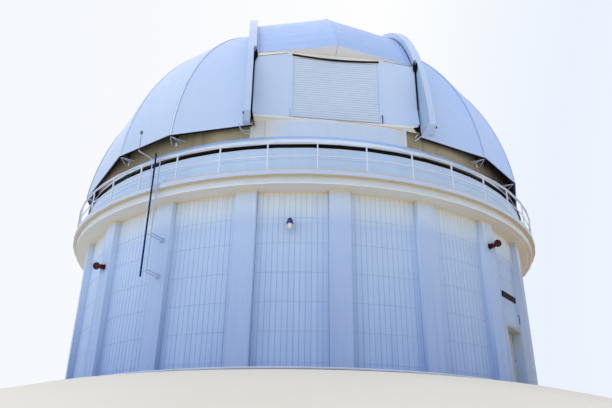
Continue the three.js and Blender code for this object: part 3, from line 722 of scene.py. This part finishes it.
def slim_lamp():
    """Slim dark fitting on a painted back plate beside the entrance."""
    piece = Shape()
    u0, u1, z0, z1 = 0.138, 0.208, 3.78, 4.37
    wall, plate = 14.131, 14.141
    piece.box(FITTING_AZ, (u0, u1), (wall, plate), (z0, z1), 1)
    piece.box(FITTING_AZ, (u0 + 0.016, u1 - 0.018), (plate, 14.19), (z0 + 0.03, z1 - 0.03))
    for z in (z0, z1 - 0.026):
        piece.box(FITTING_AZ, (u0 + 0.01, u1 - 0.012), (plate, 14.2), (z + 0.004, z + 0.022), 1)
    fitting = piece.make("entrance_fitting", "building", "entrance_lamp", "lamp corner", bevel=0.002)
    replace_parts(fitting, "entrance_lamp")


def board_border():
    """Frame and screws round the bare name board."""
    shape = Shape()
    out = (BOARD_FACE + 0.0002, BOARD_FACE + 0.01)
    half, low, high, width = 0.96, 4.84, 5.15, 0.028
    for z in (low, high - width):
        shape.box(BOARD_AZ, (-half, half), out, (z, z + width))
    for side in (-1, 1):
        shape.box(BOARD_AZ, (side * (half - width), side * half), out, (low + width, high - width))
    for u in (-0.6, 0.0, 0.6):
        for z in (low + width / 2, high - width / 2):
            shape.tube([at(BOARD_AZ, u, out[1], z), at(BOARD_AZ, u, out[1] + 0.005, z)], 0.009, 8)
    shape.make("board_border", "building", "board", "border", bevel=0.002)


def lamp_body(shape, profile):
    """A round body on the wall lamp's axis, of (radius, z) from end to end."""
    turns = [2 * pi * k / 24 for k in range(24)]
    shape.sweep([[at(LAMP_AZ, r * cos(t), LAMP_R + r * sin(t), z) for t in turns] for r, z in profile])


def wall_lamp():
    """Enamelled cap on an arm, and the glass globe under it."""
    cap = Shape()
    lamp_body(cap, ((0.03, 7.068), (0.085, 7.06), (0.112, 7.03), (0.128, 6.96), (0.142, 6.9),
                    (0.158, 6.85), (0.16, 6.806), (0.15, 6.801), (0.1, 6.83)))
    cap.tube([polar(r, LAMP_AZ, 6.95) for r in (14.16, 14.37)], 0.035, 12)
    cap.box(LAMP_AZ, (-0.08, 0.08), (14.133, 14.165), (6.85, 7.06))
    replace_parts(cap.make("lamp_cap", "building", "lamp_cap", "blue", smooth=40), "wall_lamp")
    globe = Shape()
    lamp_body(globe, ((0.092, 6.829), (0.112, 6.79), (0.116, 6.74), (0.11, 6.66), (0.098, 6.58),
                      (0.07, 6.525), (0.025, 6.502)))
    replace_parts(globe.make("lamp_glass", "building", "lamp_globe", "globe", smooth=60), "lamp_globe")


def horn(name, az, z, side, rise):
    """Flared bell on a driver, over the plain cone of the model."""
    out = R_PILASTER + 0.23
    start, mouth = at(az, side * 0.05, out, z), at(az, side * 0.53, out, z + rise)
    length = mouth - start
    ahead = length.normalized()
    shape = Shape()
    shares, radii = (0.0, 0.25, 0.5, 0.7, 0.85, 0.95, 1.0), (0.062, 0.07, 0.094, 0.128, 0.164, 0.19, 0.197)
    shape.tube([start + length * t for t in shares], radii, 24)
    shape.tube([start + length * 0.95, mouth + ahead * 0.012], [0.2, 0.2], 24, 1)
    # A dark disc in the mouth: painted shade of the bell's throat
    shape.tube([mouth + ahead * 0.01, mouth + ahead * 0.014], [0.186, 0.184], 24, 2)
    for a in (0.06, 0.165):
        shape.box(az, (-0.122, 0.122), (R_PILASTER + a, R_PILASTER + a + 0.03), (z - 0.097, z + 0.097))
    shape.box(az, (-0.06, 0.06), (R_PILASTER + 0.001, R_PILASTER + 0.014), (z - 0.17, z + 0.17), 1)
    shape.make(name, "building", "horn", "red red dark", smooth=35)


def horns():
    horn("right_horn_bell", 35.8, 7.175, 1, 0.265)
    horn("left_horn_bell", -54.0, 6.03, -1, 0.15)


def mast_fittings():
    """Clamps round the mast and its cable pipe, and the bolts of the brackets."""
    shape = Shape()
    for z in (4.76, 6.6):
        for az, r, radius in ((MAST_AZ, 15.56, 0.052), (-35.08, 15.47, 0.036)):
            p = polar(r, az, z - 0.125)
            shape.tube([p, p + Vector((0, 0, 0.05))], radius, 16)
        for u in (0.02, 0.15):
            for v in (-0.16, 0.02):
                shape.tube([at(MAST_AZ, u, R_PILASTER + out, z + v) for out in (0.0303, 0.044)], 0.012, 6)
    shape.make("mast_clamps", "building", "mast", "mast")


# ---- shell
def shell_point(az, elevation, out=0.0):
    """On the shell's surface: flat across each gore, round upwards."""
    e = radians(elevation)
    lines = [-GORES[0], *GORES, 360 + GORES[0]]
    low, high = next(pair for pair in zip(lines, lines[1:]) if pair[0] <= az <= pair[1])
    factor = cos(radians(high - low) / 2) / cos(radians(az - (high + low) / 2))
    return polar((SHELL_R + out) * cos(e) * factor, az, SHELL_Z + (SHELL_R + out) * sin(e))


def cut_open(piece):
    """Splits a sheet along the faces of the front's and the slit's boxes and takes out what is inside."""
    bm = bmesh.new()
    bm.from_mesh(piece.data)
    cuts = [(x, 0, 0) for x in (-CUT_X, -SLIT_CUT, SLIT_CUT, CUT_X)]
    cuts += [(0, 0, SLIT_BOX[0][2]), (0, 0, FRONT_BOX[1][2]), (0, FRONT_BOX[1][1], 0), (0, SLIT_BOX[1][1], 0)]
    for co in cuts:
        geometry = bm.verts[:] + bm.edges[:] + bm.faces[:]
        normal = [1.0 if c else 0.0 for c in co]
        bmesh.ops.bisect_plane(bm, geom=geometry, plane_co=co, plane_no=normal, dist=1e-6)

    def inside(c):
        return any(all(lo[k] < c[k] < hi[k] for k in range(3)) for lo, hi in (FRONT_BOX, SLIT_BOX))

    gone = [face for face in bm.faces if inside(face.calc_center_median())]
    bmesh.ops.delete(bm, geom=gone, context="FACES")
    bm.to_mesh(piece.data)
    bm.free()


def shell_skins():
    """A smooth skin over each gore of the model's shell."""
    heights = spread(LOWEST, SHELL_TOP, SHELL_STEPS)
    for i, (low, high) in enumerate(zip(GORES, GORES[1:])):
        shape = Shape()
        shape.grid([[shell_point(a, e, 0.003) for a in spread(low, high, 6)] for e in heights])
        cut_open(shape.make(f"shell_skin_{i + 1:02d}", "dome", "dome_shell", "shell", smooth=30))


def shell_seams():
    """A flat cover strap on each gore seam in the shell; at the left a painted highlight, with a fine painted
    shadow line beside it.
    """
    strap = ((-0.01, 0.0), (0.0, 0.013), (0.12, 0.013), (0.13, -0.004))
    shadow = ((-0.034, 0.0), (-0.034, 0.007), (-0.008, 0.007), (-0.008, 0.0))
    for az in GORES[1:-1]:
        shape = Shape()
        side = at(az, 1, 0, 0) * (-1 if az < 180 else 1)
        stations = []
        for e in spread(LOWEST, SHELL_TOP, SHELL_STEPS):
            p = shell_point(az, e)
            if abs(p.x) < 2.45 and p.y < 2.65:
                break
            stations.append((p, polar(cos(radians(e)), az, sin(radians(e)))))
        for number, profile in enumerate([strap, shadow] if az > 180 else [strap]):
            shape.sweep([[p + side * u + out * v for u, v in profile] for p, out in stations], number)
        paints = "strap lap" if az > 180 else "shell lap"
        shape.make(f"shell_seam_{GORES.index(az) + 1:02d}", "dome", "dome_shell", paints)


def shell_edge():
    """Rolled rim along the shell's lower edge in a painted highlight, and a dark strip that hangs behind it
    as painted shade.
    """
    start = degrees(asin(4.53 / 15.09))
    stations = sorted([start, 360 - start, *GORES[1:-1], *range(24, 340, FACET)])
    rolled = ((-0.01, 0.0), (0.016, 0.0), (0.016, 0.06), (0.002, 0.066))
    for name, slot, key, profile in (
        ("shell_rim", "dome_shell", "strap", rolled),
        ("shell_edge_shade_strip", "dark_steel", "dark", section(-0.05, -0.075, -0.03, 0.02)),
    ):
        shape = Shape()
        shape.sweep([[shell_point(a, LOWEST) + polar(u, a, v) for u, v in profile] for a in stations])
        shape.make(name, "dome", slot, key)


def shell_struts():
    """Slim struts from the drum to the shell's lower corners."""
    shape = Shape()
    for az in GORES[1:-1]:
        corner = shell_point(az, LOWEST, -0.09) + Vector((0, 0, -0.01))
        for turn, z in ((1.3, 11.96), (2.4, 11.94), (-1.2, 11.98)):
            turn *= 1 if az > 180 else -1
            shape.tube([corner, polar(R_DRUM + 0.012, az + turn, z)], 0.017, 8)
        shape.box(az, (-0.07, 0.07), (R_DRUM + 0.001, R_DRUM + 0.01), (11.84, 12.06))
    shape.make("shell_struts", "dome", "drum", "rail")


# ---- front wall and roll-up door
def roll_up_slats():
    """Bulging slats between the guides."""
    shape = Shape()
    count, half = 26, SLIT_HALF - 0.05
    low, high = Z_WALL + 0.055, Z_WALL_TOP - 0.045
    pitch = (high - low) / count
    profile = ((0.0, 0.004), (0.01, 0.014), (pitch / 2, 0.02), (pitch - 0.016, 0.014), (pitch - 0.006, 0.004))
    for i in range(count):
        z = low + i * pitch
        shape.sweep([[(x, WALL_Y + 0.05 - out, z + up) for up, out in profile] for x in (-half, half)])
    shape.make("roll_up_slats", "dome", "roller", "slat")


def door_fittings():
    """Guides at the sides of the roll-up door, its bottom bar and the two grips."""
    guides, bar, handle = Shape(), Shape(), Shape()
    edge, back, foot = SLIT_HALF - 0.05, WALL_Y + 0.049, Z_WALL + 0.004
    for side in (-1, 1):
        outer = side * (SLIT_HALF + 0.045)
        guides.block((side * edge, WALL_Y - 0.018, foot), (outer, back, Z_WALL_TOP - 0.02))
    guides.make("door_guides", "dome", "front_wall", "front", bevel=0.004)
    bar.block((-edge, WALL_Y - 0.01, foot), (edge, back, Z_WALL + 0.052))
    bar.make("door_bottom_bar", "dome", "roller", "lap", bevel=0.004)
    grip = ((-0.004, 13.02), (-0.05, 13.05), (-0.05, 13.45), (-0.004, 13.48))
    for x, number in ((2.46, 0), (-2.46, 1)):
        handle.tube([(x, WALL_Y + y, z) for y, z in grip], 0.022, 8, number)
    handle.make("door_handles", "dome", "dark_steel", "dark front")


def plates(name, slot, paints, parts):
    """Plates parallel to the front: each an outline in x and z, from and to in y, and its paint's number."""
    shape = Shape()
    for outline, y0, y1, *number in parts:
        shape.prism(outline, (y0, y1), *number)
    shape.make(name, "dome", slot, paints)


def door_head():
    """Dark rubber flap over the roll-up door, sagging in its middle, and the boards round it."""
    half, sag = 2.395, 0.13
    rows = []
    for x in spread(-half, half, 24):
        z = 16.95 - sag * (1 - (x / half) ** 2)
        rows.append([(x, WALL_Y - out, z + up)
                     for out, up in ((0.002, -0.052), (0.002, 0.052), (0.034, 0.058), (0.04, -0.058))])
    flap = Shape()
    flap.sweep(rows)
    flap.make("door_head_flap", "dome", "dark_steel", "dark")
    low = Z_WALL_TOP + 0.002
    eaves, ridge, strip = 4.23, 3.0, 2.334
    plates("head_board", "front_wall", "cream", (
        ([(-WALL_HALF, low), (WALL_HALF, low), (WALL_HALF, 16.87), (eaves, 16.9), (ridge, 17.125),
          (-ridge, 17.125), (-eaves, 16.9), (-WALL_HALF, 16.87)], WALL_Y + 0.006, WALL_Y + 0.03),
        ([(-WALL_HALF, 16.64), (-3.44, low - 0.003), (-WALL_HALF, low - 0.003)],
         WALL_Y - 0.006, WALL_Y - 0.001),
        (section(-strip, 16.798, strip, low), WALL_Y + 0.004, WALL_Y + 0.028),
    ))
    near, far = WALL_Y - 0.001, WALL_Y + 0.0055
    plates("wall_top_plates", "front_wall", "front", (
        ([(-3.44, low), (-2.43, low), (-2.43, 17.06), (-2.66, 17.03)], near, far),
        ([(2.43, low), (WALL_HALF, low), (4.24, 16.862), (2.66, 17.06), (2.43, 17.08)], near, far),
    ))
    lip = Shape()
    for line in (((-4.4, 16.64), (-3.44, 16.86), (-2.66, 17.036)), ((2.66, 17.066), (4.24, 16.868))):
        lip.tube([(x, WALL_Y - 0.008, z) for x, z in line], 0.01, 6)
    lip.make("wall_top_lips", "dome", "front_wall", "border")


def wall_edge_shade_strips():
    """Black strips between the front wall's edges and the fins, wider in the upper corners: painted shade of
    the gaps there.
    """
    back, inner, face = -13.69, 4.413, -13.862
    shape = Shape()
    corner = [(-13.864, 16.4), (-14.1, 16.5), (-14.16, 16.74), (-14.05, 16.98), (-13.864, 17.05)]
    for side in (-1, 1):
        shape.block((side * inner, -13.86, 12.98), (side * 4.455, back, 16.3))
    for outline in (
        [(-4.369, 17.11), (-4.285, 16.78), (-4.275, 16.62), (-4.4, 16.3), (-4.47, 15.96),
         (-4.5, 16.3), (-4.503, 16.84), (-4.42, 16.9)],
        [(4.377, 17.13), (4.45, 16.96), (4.503, 16.88), (4.503, 16.48), (4.436, 16.34),
         (4.32, 16.56), (4.312, 16.84), (4.366, 16.92)],
    ):
        shape.prism(outline, (-13.905, face))
    for side in (-1, 1):
        shape.block((side * inner, face + 0.0005, 16.35), (side * 4.495, back, 16.86))
        shape.sweep([[(side * x, y, z) for y, z in corner] for x in (4.495, 4.502)])
    shape.make("wall_edge_shade_strips", "dome", "dark_steel", "dark")


def halve(low, high, below):
    """The value between low and high up to which below() holds."""
    for _ in range(40):
        middle = (low + high) / 2
        low, high = (middle, high) if below(middle) else (low, middle)
    return (low + high) / 2


def shell_cut(x, elevation):
    """The point of the shell's outer face at an x and an elevation, on the front half."""
    low = 0.0 if x > 0 else 300.0
    return shell_point(halve(low, low + 60.0, lambda a: shell_point(a, elevation).x < x), elevation)


def shell_radius(x, angle):
    """How far the shell's face lies from the shutters' axis."""

    def inside(radius):
        p = around_x(x, radius, angle)
        factor = shell_point(degrees(atan2(p.x, -p.y)) % 360, 0).xy.length / SHELL_R
        return hypot(p.xy.length / factor, p.z - SHELL_Z) < SHELL_R

    return halve(13.0, 15.6, inside)


def fin_sides():
    """Plates that close the space between the front wall, the shell's cut edge and the fins, in the painted
    shade of the fins' inner sides.
    """
    for side, body in SHUTTERS:
        jamb, inner, outer = Shape(), [], []
        for k in range(15):
            p = shell_cut(side * CUT_X, LOWEST + 1.2 + k * 0.75)
            if p.y > -13.89:
                break
            inner.append((-13.87, p.z))
            outer.append((p.y - 0.004, p.z))
        jamb.sweep([[(side * x, y, z) for y, z in inner + outer[::-1]] for x in (4.486, 4.498)])
        jamb.make(f"{body}_jamb", "dome", "front_wall", "web")
        web, rows = Shape(), []
        for k in range(25):
            p = shell_cut(side * (WEB_X[0] + 0.004), LOWEST + 0.6 + k * 0.85)
            a = degrees(atan2(p.z - ARCH_Z, -p.y))
            if a > SHUTTER_FROM - 1.0:
                break
            root = hypot(p.y, p.z - ARCH_Z) + WEB_GAP
            rows.append(arch(section(WEB_X[0], root, WEB_X[1], FIN_R[1] - 0.012), a, side))
            last = a
        web.sweep(rows)
        rows = []
        for k, a in enumerate(spread(last + 0.05, SHUTTER_TO - 0.45, 40)):
            root = shell_radius(side * WEB_X[1], a) + WEB_GAP + 0.024 * min(1, k / 4)
            rows.append(arch(section(WEB_X[0], root, WEB_X[1], GUTTER_R - 0.013), a, side))
        web.sweep(rows)
        web.make(f"{body}_web", body, "fin", "web")


def wall_foot():
    """Apron between the sill and the parapet, the parapet's stained lip, and the corners beside them."""
    plates("sill_apron", "front_wall", "weathered", [
        (section(-APRON_HALF, 12.545, APRON_HALF, 12.859), WALL_Y - 0.002, WALL_Y + 0.018)])
    top, foot = 12.539, 11.56
    for name, key, first, last, out, low, high in (
        ("parapet_lip", "stain", -14.4, 13.9, 0.01, 12.512, 12.5405),
        ("parapet_left_end", "weathered", -17.95, -14.95, 0.006, foot, top),
        ("parapet_left_seam", "stain", -14.94, -14.84, 0.009, foot, top),
        ("parapet_right_end", "tan_left", 14.66, 17.95, 0.006, foot, top),
        ("parapet_right_post", "rail", 14.06, 14.62, 0.03, foot, 12.6),
    ):
        profile = section(R_DRUM + 0.0005, low, R_DRUM + out, high)
        ring_piece(name, "dome", "parapet", key, profile, (first, last))
    corner = Shape()
    for outline, y0, y1, number in (
        ([(4.122, 12.836), (4.405, 12.93), (4.405, 12.56), (4.244, 12.632)], -13.84, -13.803, 0),
        ([(-4.437, 12.98), (-4.395, 12.98), (-4.33, 12.7), (-4.293, 12.43), (-4.365, 12.45),
          (-4.42, 12.7)], -13.9, -13.865, 0),
        ([(-4.345, 12.56), (-4.27, 12.48), (-4.235, 12.3), (-4.29, 12.13), (-4.36, 12.26),
          (-4.385, 12.42)], -13.895, -13.862, 1),
        ([(4.245, 12.6), (4.4, 12.54), (4.4, 12.3), (4.3, 12.34)], -13.905, -13.87, 1),
    ):
        corner.prism(outline, (y0, y1), number)
    for path in (((4.455, -13.88, 12.3), (4.12, -13.93, 11.99)),
                 ((4.29, -13.89, 12.42), (4.15, -13.91, 12.2)),
                 ((-4.3, -13.88, 12.2), (-4.4, -13.88, 12.02))):
        corner.tube(path, 0.024, 8, 2)
    corner.make("wall_corner_brackets", "dome", "dark_steel", "dark rust rail")


def eave_shade_strips():
    """Dark strip along each shutter's eave, beside the root of its fin: painted shade of the groove there."""
    outline = section(FIN_ROOT_X - 0.045, GUTTER_R - 0.004, FIN_ROOT_X + 0.003, GUTTER_R + 0.012)
    for side, body in SHUTTERS:
        shape = Shape()
        shape.sweep([arch(outline, a, side) for a in spread(SHUTTER_FROM + 0.3, SHUTTER_TO - 0.3, 40)])
        shape.make(f"{body}_eave_shade_strip", body, "dark_steel", "lap" if side < 0 else "lamp")


def shutter_joint():
    """Flexible strip that closes the joint between the two shutters along the ridge.

    At the crown its strap is lowered to stay under the model's top, and covers the left shutter alone.
    """
    shape = Shape()
    angles = spread(SHUTTER_FROM + 0.05, SHUTTER_TO - 0.05, 40)
    web = section(-0.0045, RIDGE_R - 0.05, 0.0035, RIDGE_R - 0.0005)
    shape.sweep([arch(web, a) for a in angles])
    rows = []
    for a in angles:
        ridge = min(RIDGE_R, (CAD_HI[2] - ARCH_Z) / sin(radians(a)) - 0.01)
        lap = 0.026 if ridge == RIDGE_R else -0.0038
        rows.append(arch([(-0.04, ridge - 0.006), (-0.004, ridge - 0.002), (lap, ridge + 0.006),
                          (lap, ridge + 0.01), (-0.004, ridge + 0.01), (-0.04, ridge)], a))
    shape.sweep(rows)
    shape.make("shutter_joint_strip", "left_shutter", "shutter", "shutter")


def fin_feet():
    """Sloped toe, roller and bolts at each fin's foot; a plate and two stiff rods beside the left one."""
    for side, body in SHUTTERS:
        shape = Shape()
        toe = ((5.19, FIN_R[1] - 0.001), (4.7, 15.2), (4.2, 15.04), (3.9, 14.95))
        shape.sweep([arch(section(FIN_X[0], FIN_R[0], FIN_X[1], outer), a, side) for a, outer in toe])
        shape.tube([around_x(side * x, 15.2, 4.9) for x in (4.83, 4.89)], 0.062, 16, 1)
        for x in (4.58, 4.675, 4.77):
            for a in (6.4, 7.8):
                shape.tube([around_x(side * x, FIN_R[1] + out, a) for out in (0.001, 0.01)], 0.012, 8)
        shape.make(f"{body}_foot", body, "fin", "fin dark")
    plate = Shape()
    face = -14.356
    plate.block((-4.85, face, 12.27), (-4.51, -14.3505, 12.61))
    for x in (-4.82, -4.68, -4.54):
        for z in (12.3, 12.58):
            plate.tube([(x, face, z), (x, face - 0.012, z)], 0.014, 8)
    plate.make("corner_bracket_plate", "dome", "dome_shell", "arm")
    rods = Shape()
    for path in (((-5.06, -14.12, 12.17), (-5.02, -14.09, 11.98), (-4.9, -14.04, 11.86),
                  (-4.76, -13.98, 11.83), (-4.6, -13.88, 11.89), (-4.45, -13.77, 12.0)),
                 ((-5.0, -14.13, 12.15), (-4.96, -14.09, 11.83), (-4.84, -14.04, 11.72),
                  (-4.7, -13.98, 11.68), (-4.54, -13.88, 11.74), (-4.4, -13.79, 11.86))):
        rods.tube(path, 0.015, 8)
    rods.make("fin_foot_rods", "dome", "fin", "web")


# ---- stage, light, camera
def ground():
    """Pale floor on a low rise: level at the building, falling away below the camera's height."""
    shape = Shape()
    profile = ((0.01, -0.004), (13.0, -0.004), (15.6, -0.004), (17.0, -0.25), (24.0, -2.0), (34.0, -4.4),
               (40.0, -5.4), (60.0, -5.6), (400.0, -5.6))
    shape.grid([[polar(r, a, z) for a in range(0, 360, 5)] for r, z in profile], closed=True)
    mesh = shape.mesh("stage_floor", "floor")
    mesh.shade_smooth()
    add_object("stage_floor", mesh)


def sky():
    """Bright overcast that changes from side to side, with a warmer patch low at the right."""
    world = bpy.data.worlds.new("sky")
    bpy.context.scene.world = world
    n = Nodes(world, "Background", "Generated")
    node = n.add("ValToRGB", {"Fac": n.step(n.axis("X"), -1.0, 1.0)})
    ramp = node.color_ramp.elements
    stops = ((0.0, (240, 246, 254)), (0.42, (247, 249, 253)), (0.6, (254, 254, 254)),
             (0.74, (234, 242, 253)), (1.0, (222, 234, 253)))
    for i, (where, tint) in enumerate(stops):
        stop = ramp.new(where) if i else ramp[0]
        stop.position = where
        stop.color = linear(tint)
    ramp.remove(ramp[-1])
    warm = n.step(n.vector("DOT_PRODUCT", n.place, (0.86, -0.34, -0.38)), 0.5, 0.95)
    n.put(n.mix(warm, node.outputs["Color"], linear((192, 184, 166))), n.shader.inputs["Color"])
    n.shader.inputs["Strength"].default_value = 1.0


def sun(name, az, elevation, strength, spread_angle, color):
    """Soft distant light from an azimuth and elevation."""
    data = bpy.data.lights.new(name, "SUN")
    data.energy = strength
    data.angle = radians(spread_angle)
    data.color = color
    source = polar(cos(radians(elevation)), az, sin(radians(elevation)))
    add_object(name, data).rotation_euler = source.to_track_quat("Z", "Y").to_euler()


def photo_camera():
    """The camera that was fitted to the photo: its focal length in pixels, its place and its axes."""
    data = bpy.data.cameras.new("camera")
    data.sensor_fit = "HORIZONTAL"
    data.sensor_width = 36
    data.lens = FOCAL_PIXELS / PHOTO_WIDTH * data.sensor_width
    data.clip_end = 1000
    right = Vector((0.9923464, -0.1229335, 0.0116598))
    up = Vector((-0.060988, -0.4058164, 0.9119175))
    place = Vector((-4.6324, -39.7375, -3.6775))
    axes = Matrix((right, up, right.cross(up))).transposed()
    camera = add_object("camera", data)
    camera.matrix_world = Matrix.Translation(place) @ axes.to_4x4()
    bpy.context.scene.camera = camera
    bpy.context.scene.view_settings.view_transform = "Standard"


for build in (paint_nodes, all_siding, pilaster_trim, rings, wall_straps, railing, entrance, slim_lamp,
              board_border, wall_lamp, horns, mast_fittings, shell_skins, shell_seams, shell_edge,
              shell_struts, drum_straps, roll_up_slats, door_fittings, door_head, wall_edge_shade_strips,
              fin_sides, wall_foot, eave_shade_strips, shutter_joint, fin_feet, ground, sky, photo_camera):
    build()

sun("cool_left", -50, 35, 0.72, 70, (0.86, 0.93, 1.0))
sun("warm_right", 55, 8, 0.26, 60, (1.0, 0.95, 0.86))
sun("top_back", 215, 60, 0.44, 60, (1.0, 0.99, 0.97))
